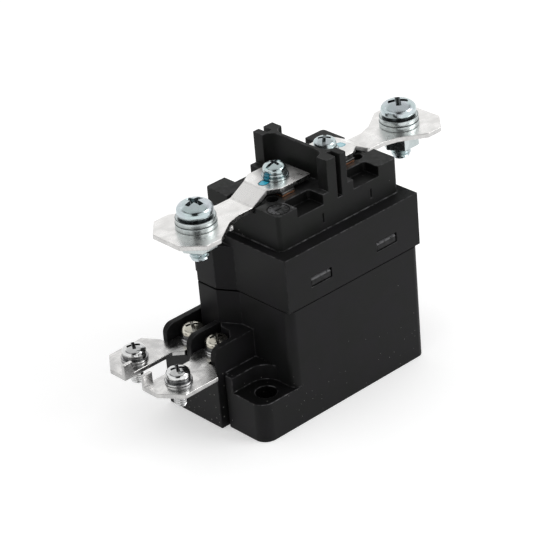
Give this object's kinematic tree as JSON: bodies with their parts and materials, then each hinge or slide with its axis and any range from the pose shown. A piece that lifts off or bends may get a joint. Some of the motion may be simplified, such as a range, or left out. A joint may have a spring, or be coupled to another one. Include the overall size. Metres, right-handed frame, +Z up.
{
  "type": "starter relay",
  "caption": "Plunger type starter relay: black moulded case with bolt-on feet, two plated busbars with screw terminals on top and a two-pole screw terminal for the coil at one end.",
  "frame": {"origin": "middle of the body's underside, on the surface that it stands on", "axes": "+Z up, X along the two busbars with the coil terminal at -X, Y across the body"},
  "size_m": [0.1133, 0.0447, 0.075],
  "materials": {
    "case_plastic": "glass-filled polyester, satin black",
    "busbar_plating": "tin-plated copper alloy strip, bright satin",
    "copper": "bare copper",
    "silver": "silver contact alloy",
    "insulator": "glass-filled polyamide",
    "spring_steel": "spring wire, drawn",
    "plated_steel": "zinc-plated steel strip",
    "rod_steel": "ground stainless steel",
    "magnet_iron": "turned soft iron, nickel flash",
    "bumper_rubber": "moulded rubber",
    "brass": "drawn brass",
    "enamelled_wire": "enamelled copper wire",
    "tape": "polyester film tape",
    "zinc_screw": "zinc-plated steel, bright",
    "nickel_screw": "nickel-plated steel"
  },
  "bodies": {
    "housing": {"case_lower": "case_plastic", "case_cover": "case_plastic", "contact_block": "case_plastic", "busbar_front": "busbar_plating", "busbar_rear": "busbar_plating", "fixed_contact_front": "copper", "fixed_contact_rear": "copper", "fixed_tips": "silver", "return_spring": "spring_steel", "bumper": "bumper_rubber", "core": "magnet_iron", "guide_tube": "brass", "bobbin": "insulator", "winding": "enamelled_wire", "winding_tape": "tape", "yoke": "plated_steel", "pole_plate": "plated_steel", "coil_leads": "enamelled_wire", "coil_tab_near": "brass", "coil_tab_far": "brass", "coil_plate_near": "busbar_plating", "coil_plate_far": "busbar_plating", "coil_nuts": "nickel_screw", "coil_outer_screws": "zinc_screw", "coil_inner_screws": "nickel_screw", "coil_spring_washers": "zinc_screw", "coil_flat_washers": "zinc_screw", "main_screws": "zinc_screw", "main_spring_washers": "zinc_screw", "main_flat_washers": "zinc_screw", "main_nuts": "zinc_screw", "clamp_screws": "nickel_screw", "clamp_spring_washers": "nickel_screw", "clamp_flat_washers": "nickel_screw", "clamp_inserts": "brass"},
    "armature": {"plunger": "magnet_iron", "push_rod": "rod_steel", "rod_clip": "spring_steel", "spring_seat": "plated_steel", "contact_spring": "spring_steel"},
    "contact_carrier": {"bridge": "copper", "bridge_tips": "silver", "bridge_bush": "insulator"}
  },
  "joints": [
    {"name": "plunger_slide", "type": "slide", "parent": "housing", "child": "armature", "axis": [0, 0, 1], "range_m": [0, 0.0024], "stiffness_N_per_m": 300, "springref_m": -0.004, "deforming": ["return_spring"]},
    {"name": "bridge_slide", "type": "slide", "parent": "housing", "child": "contact_carrier", "axis": [0, 0, 1], "range_m": [0, 0.00178], "deforming": ["contact_spring"]}
  ],
  "couplings": [
    {"joint": "bridge_slide", "follows": "plunger_slide", "ratio": 0.73}
  ]
}
